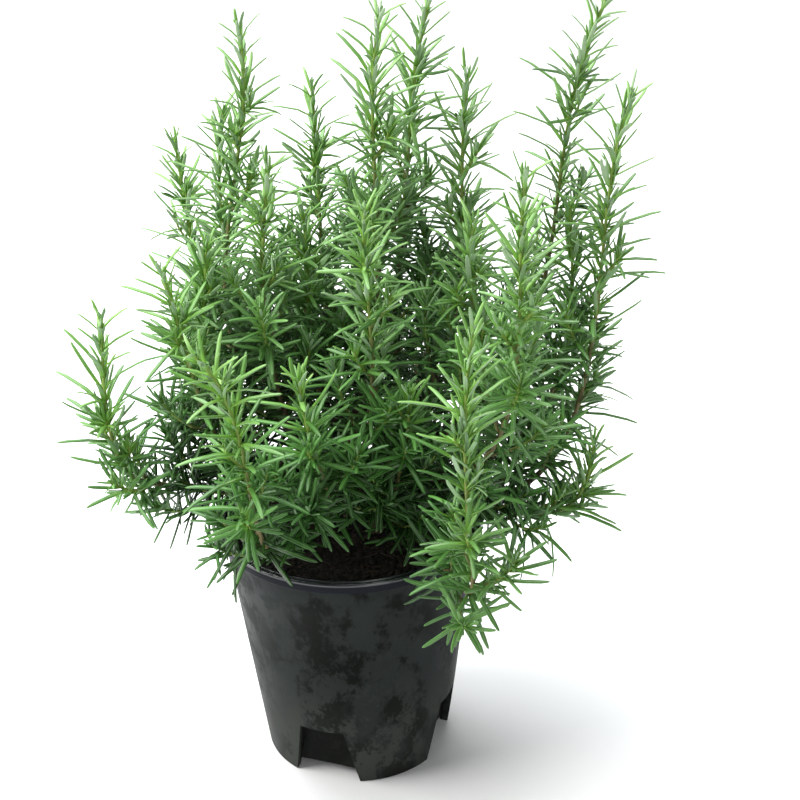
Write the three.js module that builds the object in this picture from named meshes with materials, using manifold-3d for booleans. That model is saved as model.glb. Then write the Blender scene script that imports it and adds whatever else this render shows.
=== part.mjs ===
// Rosemary in a black nursery pot, as a group of named meshes.
// Millimetres, +Z up. The origin is the middle of the pad under the pot, on the surface it stands on.
// Three woody trunks stand in the potting soil. Every shoot is a stem with its own mesh, and a
// mesh of its leaves, which grow in whorls of four from a thin bark sleeve round the stem.

import * as THREE from "three";
import { mergeVertices } from "three/addons/utils/BufferGeometryUtils.js";
import Module from "manifold-3d";

const wasm = await Module();
wasm.setup();

// ---- Driving dimensions -------------------------------------------------------------------

const FIT_GAP = 0.3; // left between pieces that touch

// Pot
const POT_HEIGHT = 150;
const RIM_RADIUS = 76;
const RIM_HEIGHT = 6;
const WALL_TOP_RADIUS = 72;
const FOOT_RADIUS = 54;
const POT_WALL = 1.5;
const FLOOR_RISE = 6.5; // the floor's underside stands this high inside the skirt
const PAD_RADIUS = 22; // flat pad in the middle of the floor, level with the skirt
const PAD_SLOPE = 5;
const ROUND_SIDES = 48;

// Drainage notches round the foot, and holes through the floor between them
const NOTCH_COUNT = 4;
const FIRST_NOTCH_TURN = -20; // degrees from the front
const NOTCH_TOP = 38;
const NOTCH_HALF_BASE = 19.7;
const NOTCH_HALF_TOP = 13.2;
const NOTCH_DEPTH_RADIUS = 47;
const DRAIN_RADIUS = 4.5;
const DRAIN_CIRCLE = 37;

// Soil
const SOIL_TOP = 138;
const SOIL_LUMP = 1.2;
const SOIL_RINGS = 4;

// Trunks
const TRUNK_SIDES = 8;
const TRUNK_BURIED = 25;
const TRUNK_BASE_RADIUS = 5.5;
const TRUNK_TIP_RADIUS = 4;

// Shoots
const STEM_SIDES = 4;
const STEM_BASE_RADIUS = 2.4;
const STEM_TIP_RADIUS = 1.1;
const STEM_STEP = 15;
const BARE_LENGTH = 38; // stem without leaves next to the trunk
const SLEEVE_BORE_GAP = 0.45;
const SLEEVE_WALL = 0.75;

// Leaves
const WHORL_STEP = 18;
const LEAF_BASE_LENGTH = 2;
const LEAF_LENGTH_LOW = 31;
const LEAF_LENGTH_MID = 35;
const LEAF_LENGTH_TIP = 16;
const LEAF_TURN = 22; // degrees that whorls alternate by, to either side
const LEAF_HALF_WIDTH = 2;
const LEAF_SHORTENINGS = [1, 0.75, 0.5];

const TRUNKS = {
  left: { foot: [-14, 2, SOIL_TOP], top: [-24, 4, 195] },
  right: { foot: [14, -3, SOIL_TOP], top: [26, -2, 195] },
  back: { foot: [0, 15, SOIL_TOP], top: [4, 24, 200] },
};

// Each shoot leaves its trunk at a share of the trunk's height. Its curve is pulled out by the
// point low, is pulled up by the point high, and ends at tip.
const SHOOTS = [
  { name: "left_tall", trunk: "left", at: 0.98, low: [-105, 30, 255], high: [-40, 55, 335], tip: [-50, 55, 415] },
  { name: "left_twin", trunk: "left", at: 0.7, low: [-60, 80, 200], high: [-80, 90, 285], tip: [-65, 90, 360] },
  { name: "left_back", trunk: "left", at: 0.4, low: [-90, 75, 175], high: [-90, 135, 240], tip: [-100, 140, 325] },
  { name: "left_middle", trunk: "left", at: 0.84, low: [-45, -25, 240], high: [-45, 15, 295], tip: [-35, 5, 355] },
  { name: "left_inner", trunk: "back", at: 0.68, low: [-30, 35, 220], high: [-15, 30, 275], tip: [-20, 30, 320] },
  { name: "left_upper", trunk: "left", at: 0.5, low: [-95, 5, 195], high: [-75, 5, 260], tip: [-70, 5, 315] },
  { name: "left_lower", trunk: "left", at: 0.3, low: [-85, -30, 185], high: [-75, -25, 255], tip: [-90, -35, 315] },
  { name: "left_far", trunk: "left", at: 0.05, low: [-105, -15, 215], high: [-135, -35, 135], tip: [-125, -25, 285] },
  { name: "front_left", trunk: "left", at: 0.2, low: [-65, -105, 135], high: [-30, -95, 255], tip: [-65, -125, 310] },
  { name: "front_middle", trunk: "left", at: 0.62, low: [5, -70, 170], high: [-20, -70, 230], tip: [-20, -80, 275] },
  { name: "front_centre", trunk: "left", at: 0.74, low: [35, -65, 190], high: [10, -30, 300], tip: [15, -45, 350] },
  { name: "front_short", trunk: "right", at: 0.12, low: [20, -50, 165], high: [35, -50, 215], tip: [35, -60, 255] },
  { name: "front_right", trunk: "right", at: 0.55, low: [95, -165, 135], high: [48, -118, 185], tip: [65, -115, 315] },
  { name: "front_arching", trunk: "right", at: 0.7, low: [105, -85, 190], high: [85, -90, 305], tip: [90, -100, 385] },
  { name: "right_centre", trunk: "right", at: 0.92, low: [100, -25, 205], high: [60, -20, 285], tip: [70, -20, 330] },
  { name: "right_middle", trunk: "right", at: 0.98, low: [80, 20, 245], high: [60, 25, 325], tip: [70, 30, 395] },
  { name: "right_tall", trunk: "right", at: 0.85, low: [150, 55, 205], high: [100, 50, 340], tip: [145, 60, 425] },
  { name: "right_edge", trunk: "right", at: 0.48, low: [170, -15, 115], high: [125, 20, 310], tip: [155, 20, 385] },
  { name: "right_low", trunk: "right", at: 0.08, low: [65, -15, 195], high: [130, -30, 115], tip: [135, -25, 205] },
  { name: "right_short", trunk: "right", at: 0.62, low: [135, 25, 150], high: [130, 35, 255], tip: [125, 30, 320] },
  { name: "right_back", trunk: "right", at: 0.28, low: [65, 45, 185], high: [115, 95, 200], tip: [115, 120, 270] },
  { name: "middle_tall", trunk: "back", at: 0.98, low: [35, 15, 275], high: [10, 25, 355], tip: [25, 20, 430] },
  { name: "top", trunk: "back", at: 0.82, low: [45, 65, 260], high: [30, 45, 350], tip: [50, 55, 425] },
  { name: "back_middle", trunk: "back", at: 0.6, low: [-20, 95, 220], high: [-10, 85, 300], tip: [-15, 95, 370] },
  { name: "back_low", trunk: "back", at: 0.45, low: [5, 80, 195], high: [10, 150, 215], tip: [5, 160, 290] },
  { name: "back_left", trunk: "back", at: 0.3, low: [-15, 70, 185], high: [-35, 130, 195], tip: [-40, 145, 260] },
  { name: "back_right", trunk: "back", at: 0.15, low: [30, 65, 190], high: [65, 115, 215], tip: [75, 150, 270] },
];

// Clear of leaves: the rim, the soil, and a bay inside the rim at the front where water goes in
const LEAF_CLEARANCE = 0.8;
const RIM_KEEP_OUT = { inside: 69, outside: 79, top: 151.5 };
const SOIL_KEEP_OUT_TOP = 141;
const WATER_BAY = { halfWidth: 24, back: -36, top: 168 };

// ---- Solids -------------------------------------------------------------------------------

function toSolid(geometry) {
  const bare = geometry.clone();
  bare.deleteAttribute("normal");
  bare.deleteAttribute("uv");
  const merged = mergeVertices(bare, 1e-4);
  const vertProperties = new Float32Array(merged.attributes.position.array);
  const triVerts = new Uint32Array(merged.index.array);
  return new wasm.Manifold(new wasm.Mesh({ numProp: 3, vertProperties, triVerts }));
}

function toGeometry(solid) {
  const mesh = solid.getMesh();
  const geometry = new THREE.BufferGeometry();
  geometry.setAttribute("position", new THREE.BufferAttribute(mesh.vertProperties, 3));
  geometry.setIndex(new THREE.BufferAttribute(mesh.triVerts, 1));
  return geometry;
}

// A profile of [radius, height] points turned about the Z axis
function turned(points) {
  const profile = points.map(([radius, height]) => new THREE.Vector2(radius, height));
  return new THREE.LatheGeometry(profile, ROUND_SIDES).rotateX(Math.PI / 2);
}

function subtractAll(solid, cutters) {
  return cutters.reduce((rest, cutter) => rest.subtract(cutter), solid);
}

// ---- Pot ----------------------------------------------------------------------------------

function wallRadius(height) {
  const slope = (WALL_TOP_RADIUS - FOOT_RADIUS) / (POT_HEIGHT - RIM_HEIGHT);
  return FOOT_RADIUS + slope * height;
}

function notchTurns() {
  const turns = [];
  for (let i = 0; i < NOTCH_COUNT; i += 1) {
    turns.push(THREE.MathUtils.degToRad(FIRST_NOTCH_TURN + (360 / NOTCH_COUNT) * i));
  }
  return turns;
}

// A wedge that tapers upwards, standing across the front of the foot and turned into place
function notchWedge(turn, grow, innerRadius, top) {
  const below = -5;
  const taper = (NOTCH_HALF_BASE - NOTCH_HALF_TOP) / NOTCH_TOP;
  const halfAt = (height) => NOTCH_HALF_BASE - taper * height + grow;
  const face = new THREE.Shape();
  face.moveTo(-halfAt(below), below);
  face.lineTo(halfAt(below), below);
  face.lineTo(halfAt(top), top + grow);
  face.lineTo(-halfAt(top), top + grow);
  face.closePath();
  const depth = RIM_RADIUS - innerRadius + grow;
  const wedge = new THREE.ExtrudeGeometry(face, { depth, bevelEnabled: false });
  wedge.translate(0, 0, innerRadius - grow);
  wedge.rotateX(Math.PI / 2);
  wedge.rotateZ(turn);
  return toSolid(wedge);
}

function notchWedges(grow) {
  return notchTurns().map((turn) => notchWedge(turn, grow, NOTCH_DEPTH_RADIUS, NOTCH_TOP));
}

// Opens each notch under the floor, so that water runs out between the feet
function notchMouths() {
  const innerRadius = NOTCH_DEPTH_RADIUS - 3 * POT_WALL;
  return notchTurns().map((turn) => notchWedge(turn, 0, innerRadius, FLOOR_RISE));
}

function drainHoles() {
  return notchTurns().map((turn) => {
    const hole = new THREE.CylinderGeometry(DRAIN_RADIUS, DRAIN_RADIUS, 4 * FLOOR_RISE, 16);
    hole.rotateX(Math.PI / 2);
    hole.translate(0, -DRAIN_CIRCLE, 0);
    hole.rotateZ(turn + Math.PI / NOTCH_COUNT);
    return toSolid(hole);
  });
}

function potOutside() {
  const lipFoot = POT_HEIGHT - RIM_HEIGHT;
  const edge = 1.2;
  return turned([
    [0, 0],
    [FOOT_RADIUS, 0],
    [WALL_TOP_RADIUS, lipFoot],
    [RIM_RADIUS - edge / 2, lipFoot],
    [RIM_RADIUS, lipFoot + edge / 2],
    [RIM_RADIUS, POT_HEIGHT - edge],
    [RIM_RADIUS - edge, POT_HEIGHT],
    [0, POT_HEIGHT],
  ]);
}

// The space inside the pot. A margin above 0 draws it in from the wall and floor, for the soil.
function potInside(margin, topPoints) {
  const floor = POT_WALL + margin;
  const raisedFloor = FLOOR_RISE + floor;
  const wallInset = POT_WALL + margin;
  return turned([
    [0, floor],
    [PAD_RADIUS - POT_WALL, floor],
    [PAD_RADIUS - POT_WALL + PAD_SLOPE, raisedFloor],
    [wallRadius(raisedFloor) - wallInset, raisedFloor],
    ...topPoints(wallInset),
  ]);
}

function underFloor() {
  return turned([
    [PAD_RADIUS, -1],
    [FOOT_RADIUS - POT_WALL, -1],
    [FOOT_RADIUS - POT_WALL, FLOOR_RISE],
    [PAD_RADIUS + PAD_SLOPE, FLOOR_RISE],
    [PAD_RADIUS, 0],
    [PAD_RADIUS, -1],
  ]);
}

function pot() {
  const notchWalls = notchWedges(POT_WALL);
  const openTop = (inset) => [[wallRadius(POT_HEIGHT + 1) - inset, POT_HEIGHT + 1], [0, POT_HEIGHT + 1]];
  const inside = subtractAll(toSolid(potInside(0, openTop)), notchWalls);
  const under = subtractAll(toSolid(underFloor()), notchWalls);
  const cutters = [inside, under, ...notchWedges(0), ...notchMouths(), ...drainHoles()];
  return toGeometry(subtractAll(toSolid(potOutside()), cutters));
}

// ---- Curves and lofts ---------------------------------------------------------------------

const point = ([x, y, z]) => new THREE.Vector3(x, y, z);

// Cross frames at even steps of a curve's length: centre, tangent and two sideways axes
function framesAlong(curve, distances) {
  const length = curve.getLength();
  let side = null;
  return distances.map((distance) => {
    const share = Math.min(1, distance / length);
    const centre = curve.getPointAt(share);
    const tangent = curve.getTangentAt(share);
    const seed = side ?? new THREE.Vector3(1, 0, 0);
    side = seed.clone().addScaledVector(tangent, -seed.dot(tangent)).normalize();
    const across = tangent.clone().cross(side);
    return { centre, tangent, side, across };
  });
}

function ring(frame, radius, sides, shift = 0) {
  const corners = [];
  for (let i = 0; i < sides; i += 1) {
    const angle = (2 * Math.PI * i) / sides;
    const corner = frame.centre.clone().addScaledVector(frame.tangent, shift);
    corner.addScaledVector(frame.side, radius * Math.cos(angle));
    corner.addScaledVector(frame.across, radius * Math.sin(angle));
    corners.push(corner);
  }
  return corners;
}

// Triangles between rings of corners. The rings are closed at both ends by a fan, or joined last
// to first where looped is true. spikes maps "ring,side" to a point that this face is drawn out to.
function loft(rings, { looped = false, spikes = new Map() } = {}) {
  const sides = rings[0].length;
  const corners = rings.flat();
  const triangles = [];
  const index = (ringNumber, side) => (ringNumber % rings.length) * sides + (side % sides);
  const bands = looped ? rings.length : rings.length - 1;
  for (let i = 0; i < bands; i += 1) {
    for (let j = 0; j < sides; j += 1) {
      const face = [index(i, j), index(i, j + 1), index(i + 1, j + 1), index(i + 1, j)];
      const spike = spikes.get(`${i},${j}`);
      if (spike) {
        corners.push(spike);
        const apex = corners.length - 1;
        face.forEach((corner, k) => triangles.push(corner, face[(k + 1) % 4], apex));
      } else {
        triangles.push(face[0], face[1], face[2], face[0], face[2], face[3]);
      }
    }
  }
  if (!looped) {
    const last = (rings.length - 1) * sides;
    for (let j = 1; j < sides - 1; j += 1) {
      triangles.push(0, j + 1, j);
      triangles.push(last, last + j, last + j + 1);
    }
  }
  const geometry = new THREE.BufferGeometry();
  geometry.setAttribute("position", new THREE.Float32BufferAttribute(corners.flatMap((c) => c.toArray()), 3));
  geometry.setIndex(triangles);
  return geometry;
}

function evenSteps(start, end, step) {
  const count = Math.max(1, Math.round((end - start) / step));
  return Array.from({ length: count + 1 }, (_, i) => start + ((end - start) * i) / count);
}

// ---- Trunks -------------------------------------------------------------------------------

function trunkCurve(trunk) {
  const foot = point(trunk.foot);
  const top = point(trunk.top);
  const buried = foot.clone().setZ(SOIL_TOP - TRUNK_BURIED);
  return new THREE.CatmullRomCurve3([buried, foot, top]);
}

function trunkTube(trunk, margin) {
  const curve = trunkCurve(trunk);
  const length = curve.getLength();
  const distances = evenSteps(0, length, 20);
  const frames = framesAlong(curve, distances);
  const radiusAt = (distance) =>
    THREE.MathUtils.lerp(TRUNK_BASE_RADIUS, TRUNK_TIP_RADIUS, distance / length) + margin;
  const rings = frames.map((frame, i) => ring(frame, radiusAt(distances[i]), TRUNK_SIDES));
  const first = frames[0];
  const last = frames[frames.length - 1];
  rings[0] = ring(first, radiusAt(0), TRUNK_SIDES, -margin);
  rings[rings.length - 1] = ring(last, radiusAt(length), TRUNK_SIDES, margin);
  return loft(rings);
}

// ---- Soil ---------------------------------------------------------------------------------

function soil() {
  const topPoints = (inset) => {
    const edge = wallRadius(SOIL_TOP) - inset;
    const rings = evenSteps(0, edge, edge / SOIL_RINGS).reverse();
    return rings.map((radius) => [radius, SOIL_TOP]);
  };
  const block = potInside(FIT_GAP, topPoints);
  const position = block.attributes.position;
  for (let i = 0; i < position.count; i += 1) {
    if (position.getZ(i) > SOIL_TOP - 1) {
      const lump = Math.sin(position.getX(i) / 9) * Math.cos(position.getY(i) / 11);
      position.setZ(i, SOIL_TOP + SOIL_LUMP * lump);
    }
  }
  const sockets = Object.values(TRUNKS).map((trunk) => toSolid(trunkTube(trunk, FIT_GAP)));
  return toGeometry(subtractAll(toSolid(block), [...notchWedges(POT_WALL + FIT_GAP), ...sockets]));
}

// ---- Shoots -------------------------------------------------------------------------------

function shootCurve(shoot) {
  const { foot, top } = TRUNKS[shoot.trunk];
  const root = point(foot).lerp(point(top), shoot.at);
  return new THREE.CubicBezierCurve3(root, point(shoot.low), point(shoot.high), point(shoot.tip));
}

function stemRadius(distance, length) {
  return THREE.MathUtils.lerp(STEM_BASE_RADIUS, STEM_TIP_RADIUS, distance / length);
}

// Frames of the bare stretch next to the trunk, then one for each whorl of leaves, then the end
function stemFrames(curve) {
  const length = curve.getLength();
  const bare = evenSteps(0, BARE_LENGTH, STEM_STEP).slice(0, -1);
  const whorls = evenSteps(BARE_LENGTH, length - LEAF_BASE_LENGTH, WHORL_STEP);
  const distances = [...bare, ...whorls, length + LEAF_BASE_LENGTH / 2];
  const frames = framesAlong(curve, distances);
  return frames.map((frame, i) => ({
    ...frame,
    radius: stemRadius(distances[i], length),
    leafy: i >= bare.length && i < bare.length + whorls.length,
  }));
}

// The sleeve's corners share the stem's frames, so that the two run parallel
function whorlFrames(curve) {
  return stemFrames(curve).filter((frame) => frame.leafy);
}

function stem(curve, trunkName) {
  const frames = stemFrames(curve);
  const tube = toSolid(loft(frames.map((frame) => ring(frame, frame.radius, STEM_SIDES))));
  return toGeometry(tube.subtract(toSolid(trunkTube(TRUNKS[trunkName], FIT_GAP))));
}

// ---- Leaves -------------------------------------------------------------------------------

function seededRandom(seed) {
  let state = seed;
  return () => {
    state = (state * 1664525 + 1013904223) % 4294967296;
    return state / 4294967296;
  };
}

function leafLength(share) {
  const rise = THREE.MathUtils.lerp(LEAF_LENGTH_LOW, LEAF_LENGTH_MID, Math.min(1, 2 * share));
  const fall = THREE.MathUtils.smoothstep(share, 0.55, 1);
  return THREE.MathUtils.lerp(rise, LEAF_LENGTH_TIP, fall);
}

// Degrees between a leaf and its stem: wide at the bottom of a shoot, closing up at the tip
function leafSpread(share) {
  return THREE.MathUtils.lerp(88, 24, share ** 1.4);
}

function distanceToSegment(place, start, end) {
  const along = end.clone().sub(start);
  const share = THREE.MathUtils.clamp(place.clone().sub(start).dot(along) / along.lengthSq(), 0, 1);
  return { share, distance: place.distanceTo(start.clone().addScaledVector(along, share)) };
}

function inKeepOut(place) {
  const radius = Math.hypot(place.x, place.y);
  const { inside, outside, top } = RIM_KEEP_OUT;
  const byRim = radius < outside && place.z < top && (radius > inside || place.z < SOIL_KEEP_OUT_TOP);
  const inBay = Math.abs(place.x) < WATER_BAY.halfWidth && place.y < WATER_BAY.back;
  return byRim || (inBay && place.z < WATER_BAY.top);
}

// True where a leaf would meet the pot, another leaf or any stem that doesn't carry it
function leafMeets(leaf, leaves, bars) {
  const samples = 8;
  for (let i = 1; i <= samples; i += 1) {
    const share = i / samples;
    const place = leaf.base.clone().lerp(leaf.tip, share);
    if (inKeepOut(place)) return true;
    const halfWidth = LEAF_HALF_WIDTH * (1 - share) + LEAF_CLEARANCE;
    for (const bar of bars) {
      const ownStem = bar.shoot === leaf.shoot;
      if (ownStem && share < 0.4) continue;
      if (distanceToSegment(place, bar.start, bar.end).distance < halfWidth + bar.radius) return true;
    }
    for (const other of leaves) {
      if (other.shoot === leaf.shoot && other.whorl === leaf.whorl) continue;
      if (place.distanceTo(other.base) > 2 * LEAF_LENGTH_MID) continue;
      const near = distanceToSegment(place, other.base, other.tip);
      if (near.distance < halfWidth + LEAF_HALF_WIDTH * (1 - near.share)) return true;
    }
  }
  return false;
}

// Solid bars that leaves keep clear of: every stretch of every stem, and the trunks
function stemBars(curves) {
  const bars = [];
  curves.forEach((curve, shoot) => {
    const frames = stemFrames(curve);
    const skin = SLEEVE_BORE_GAP + SLEEVE_WALL;
    for (let i = 1; i < frames.length; i += 1) {
      bars.push({ shoot, start: frames[i - 1].centre, end: frames[i].centre, radius: frames[i].radius + skin });
    }
  });
  for (const trunk of Object.values(TRUNKS)) {
    bars.push({ shoot: -1, start: point(trunk.foot), end: point(trunk.top), radius: TRUNK_BASE_RADIUS });
  }
  return bars;
}

// Where each leaf of each whorl points, shortened or left out where something is in its way
function growLeaves(curves) {
  const bars = stemBars(curves);
  const leaves = [];
  curves.forEach((curve, shoot) => {
    const random = seededRandom(101 + 17 * shoot);
    const frames = whorlFrames(curve);
    frames.forEach((frame, whorl) => {
      const share = whorl / (frames.length - 1);
      const turn = whorl % 2 ? LEAF_TURN : -LEAF_TURN;
      for (let side = 0; side < STEM_SIDES; side += 1) {
        const angle = THREE.MathUtils.degToRad(45 + 90 * side + turn * (0.6 + 0.4 * random()));
        const spread = THREE.MathUtils.degToRad(leafSpread(share) + 16 * (random() - 0.5));
        const full = leafLength(share) * (0.85 + 0.3 * random());
        const outward = frame.side.clone().multiplyScalar(Math.cos(angle));
        outward.addScaledVector(frame.across, Math.sin(angle));
        const heading = outward.clone().multiplyScalar(Math.sin(spread));
        heading.addScaledVector(frame.tangent, Math.cos(spread));
        for (const shortening of LEAF_SHORTENINGS) {
          const tip = frame.centre.clone().addScaledVector(heading, full * shortening);
          const leaf = { shoot, whorl, side, base: frame.centre, tip };
          if (!leafMeets(leaf, leaves, bars)) {
            leaves.push(leaf);
            break;
          }
        }
      }
    });
  });
  return leaves;
}

// The leaves of one shoot, joined by the bark sleeve that they grow from
function foliage(curve, ownLeaves) {
  const boreRings = [];
  const skinRings = [];
  const spikes = new Map();
  whorlFrames(curve).forEach((frame) => {
    const bore = frame.radius + SLEEVE_BORE_GAP;
    const skin = bore + SLEEVE_WALL;
    boreRings.push(ring(frame, bore, STEM_SIDES));
    skinRings.push(ring(frame, skin, STEM_SIDES, -LEAF_BASE_LENGTH / 2));
    skinRings.push(ring(frame, skin, STEM_SIDES, LEAF_BASE_LENGTH / 2));
  });
  for (const leaf of ownLeaves) {
    spikes.set(`${2 * leaf.whorl},${leaf.side}`, leaf.tip);
  }
  return loft([...skinRings, ...boreRings.reverse()], { looped: true, spikes });
}

// ---- Materials ----------------------------------------------------------------------------

function finish(color, roughness) {
  return new THREE.MeshStandardMaterial({ color, roughness, metalness: 0 });
}

const FINISHES = {
  pot: finish(0x2b2f2e, 0.5),
  soil: finish(0x2a2019, 0.95),
  bark: finish(0x6a5440, 0.85),
  stem: finish(0x8d8a4e, 0.7),
  leaf: finish(0x47803a, 0.55),
};

// ---- Assembly -----------------------------------------------------------------------------

const plant = new THREE.Group();

function place(name, geometry, material) {
  const mesh = new THREE.Mesh(geometry, material);
  mesh.name = name;
  plant.add(mesh);
}

place("pot", pot(), FINISHES.pot);
place("soil", soil(), FINISHES.soil);
for (const [name, trunk] of Object.entries(TRUNKS)) {
  place(`trunk_${name}`, trunkTube(trunk, 0), FINISHES.bark);
}

const curves = SHOOTS.map(shootCurve);
const leaves = growLeaves(curves);
SHOOTS.forEach((shoot, i) => {
  const ownLeaves = leaves.filter((leaf) => leaf.shoot === i);
  place(`stem_${shoot.name}`, stem(curves[i], shoot.trunk), FINISHES.stem);
  place(`leaves_${shoot.name}`, foliage(curves[i], ownLeaves), FINISHES.leaf);
});

export default plant;
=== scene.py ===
"""The looks of a potted rosemary plant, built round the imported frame. Metres, +Z up."""

import math
import random

import bmesh
import bpy
from mathutils import Matrix, Vector


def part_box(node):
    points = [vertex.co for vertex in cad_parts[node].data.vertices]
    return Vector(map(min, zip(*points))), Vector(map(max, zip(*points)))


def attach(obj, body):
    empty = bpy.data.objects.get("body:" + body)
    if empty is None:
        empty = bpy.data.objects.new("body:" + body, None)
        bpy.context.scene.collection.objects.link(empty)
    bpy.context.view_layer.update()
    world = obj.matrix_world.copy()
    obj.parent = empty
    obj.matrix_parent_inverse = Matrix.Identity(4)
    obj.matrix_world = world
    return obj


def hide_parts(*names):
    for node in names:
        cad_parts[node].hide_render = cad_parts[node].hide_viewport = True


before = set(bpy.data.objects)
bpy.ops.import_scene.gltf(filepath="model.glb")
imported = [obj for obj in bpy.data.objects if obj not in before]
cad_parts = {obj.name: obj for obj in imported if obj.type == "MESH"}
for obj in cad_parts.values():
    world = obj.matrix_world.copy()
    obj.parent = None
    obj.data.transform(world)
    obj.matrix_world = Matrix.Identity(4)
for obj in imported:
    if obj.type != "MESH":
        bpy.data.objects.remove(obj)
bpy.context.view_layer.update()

MM = 0.001

# ---- Measures -----------------------------------------------------------------------------

POT_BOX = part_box("pot")
POT_HEIGHT = POT_BOX[1][2]
RIM_RADIUS = POT_BOX[1][0]
RIM_HEIGHT = 6 * MM
WALL_TOP_RADIUS = 72 * MM
FOOT_RADIUS = 54 * MM
POT_WALL = 1.5 * MM
FLOOR_RISE = 6.5 * MM
PAD_RADIUS = 22 * MM
PAD_SLOPE = 5 * MM
POT_SIDES = 144
WALL_SLOPE = (WALL_TOP_RADIUS - FOOT_RADIUS) / (POT_HEIGHT - RIM_HEIGHT)
SHOULDER_HEIGHT = 125 * MM  # above it the wall stands a little further out
SHOULDER_STEP = 0.5 * MM
BOX_SETBACK = 0.7 * MM  # from the outside of the wall to the box behind a notch
BOX_LIMIT = 45 * MM  # above the top of every notch box

NOTCH_TURNS = [math.radians(-20 + 90 * i) for i in range(4)]
NOTCH_TOP = 38 * MM
NOTCH_HALF_BASE = 19.7 * MM
NOTCH_HALF_TOP = 13.2 * MM
NOTCH_DEPTH_RADIUS = 47 * MM
DRAIN_RADIUS = 4.5 * MM
DRAIN_CIRCLE = 37 * MM

SOIL_TOP = 138 * MM
SOIL_RADIUS = 69.4 * MM
SOIL_MOUND = 1 * MM  # about how far its lumps rise
SOIL_GAP = 0.4 * MM  # between the compost and the pot

BURIED = 22 * MM  # how deep the foot of a trunk goes

# Trunks: foot and top of each woody cutting, in millimetres
TRUNKS = {
    "left": ((-14, 2, 138), (-24, 4, 195)),
    "right": ((14, -3, 138), (26, -2, 195)),
    "back": ((0, 15, 138), (4, 24, 200)),
}
TRUNK_BASE_RADIUS = 5.5 * MM
TRUNK_TIP_RADIUS = 4 * MM

# Shoots: trunk, share of its height, the two points that pull the curve, and its tip, in mm
SHOOTS = {
    "left_tall": ("left", 0.98, (-105, 30, 255), (-40, 55, 335), (-50, 55, 415)),
    "left_twin": ("left", 0.7, (-60, 80, 200), (-80, 90, 285), (-65, 90, 360)),
    "left_back": ("left", 0.4, (-90, 75, 175), (-90, 135, 240), (-100, 140, 325)),
    "left_middle": ("left", 0.84, (-45, -25, 240), (-45, 15, 295), (-35, 5, 355)),
    "left_inner": ("back", 0.68, (-30, 35, 220), (-15, 30, 275), (-20, 30, 320)),
    "left_upper": ("left", 0.5, (-95, 5, 195), (-75, 5, 260), (-70, 5, 315)),
    "left_lower": ("left", 0.3, (-85, -30, 185), (-75, -25, 255), (-90, -35, 315)),
    "left_far": ("left", 0.05, (-105, -15, 215), (-135, -35, 135), (-125, -25, 285)),
    "front_left": ("left", 0.2, (-65, -105, 135), (-30, -95, 255), (-65, -125, 310)),
    "front_middle": ("left", 0.62, (5, -70, 170), (-20, -70, 230), (-20, -80, 275)),
    "front_centre": ("left", 0.74, (35, -65, 190), (10, -30, 300), (15, -45, 350)),
    "front_short": ("right", 0.12, (20, -50, 165), (35, -50, 215), (35, -60, 255)),
    "front_right": ("right", 0.55, (95, -165, 135), (48, -118, 185), (65, -115, 315)),
    "front_arching": ("right", 0.7, (105, -85, 190), (85, -90, 305), (90, -100, 385)),
    "right_centre": ("right", 0.92, (100, -25, 205), (60, -20, 285), (70, -20, 330)),
    "right_middle": ("right", 0.98, (80, 20, 245), (60, 25, 325), (70, 30, 395)),
    "right_tall": ("right", 0.85, (150, 55, 205), (100, 50, 340), (145, 60, 425)),
    "right_edge": ("right", 0.48, (170, -15, 115), (125, 20, 310), (155, 20, 385)),
    "right_low": ("right", 0.08, (65, -15, 195), (130, -30, 115), (135, -25, 205)),
    "right_short": ("right", 0.62, (135, 25, 150), (130, 35, 255), (125, 30, 320)),
    "right_back": ("right", 0.28, (65, 45, 185), (115, 95, 200), (115, 120, 270)),
    "middle_tall": ("back", 0.98, (35, 15, 275), (10, 25, 355), (25, 20, 430)),
    "top": ("back", 0.82, (45, 65, 260), (30, 45, 350), (50, 55, 425)),
    "back_middle": ("back", 0.6, (-20, 95, 220), (-10, 85, 300), (-15, 95, 370)),
    "back_low": ("back", 0.45, (5, 80, 195), (10, 150, 215), (5, 160, 290)),
    "back_left": ("back", 0.3, (-15, 70, 185), (-35, 130, 195), (-40, 145, 260)),
    "back_right": ("back", 0.15, (30, 65, 190), (65, 115, 215), (75, 150, 270)),
}

STEM_BASE_RADIUS = 2.2 * MM
STEM_TIP_RADIUS = 0.75 * MM
LEAF_SPACING = 6.1 * MM  # along the stem, from one pair of leaves to the next
LEAF_LENGTH = 31.5 * MM
LEAF_HALF_WIDTH = 1.42 * MM
BARE_LENGTH = 24 * MM  # stem without leaves next to the trunk
LEAFY_SHARE = 0.84  # of the length of a shoot, when its pairs of leaves are counted
STEM_STEP = 2.2 * MM  # from ring to ring of a stem
LEAVES_PER_NODE = 6  # a pair of full leaves and four small ones in their axils

# Sprigs, the side shoots: share of the way up the shoot, and length in millimetres
SPRIGS = (
    (0.15, 52), (0.23, 56), (0.31, 52), (0.39, 44), (0.47, 36),
    (0.55, 28), (0.64, 21), (0.73, 15), (0.83, 10),
)
SPRIG_BASE_RADIUS = 1.0 * MM
SPRIG_TIP_RADIUS = 0.6 * MM
SPRIG_LEAF_SPACING = 4.0 * MM
SPRIG_LEAF_LENGTH = LEAF_LENGTH * 0.76
SPRIG_LEAF_HALF_WIDTH = LEAF_HALF_WIDTH * 0.9

# Room that leaves and sprigs keep from the pot and the soil
RIM_WIDTH = 5 * MM  # from the edge of the flange to the inside of the wall
LEAF_GAP = 4 * MM
SPRIG_GAP = 3 * MM
HANGING = 8 * MM  # how far under the top of the rim a sprig may hang outside

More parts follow.
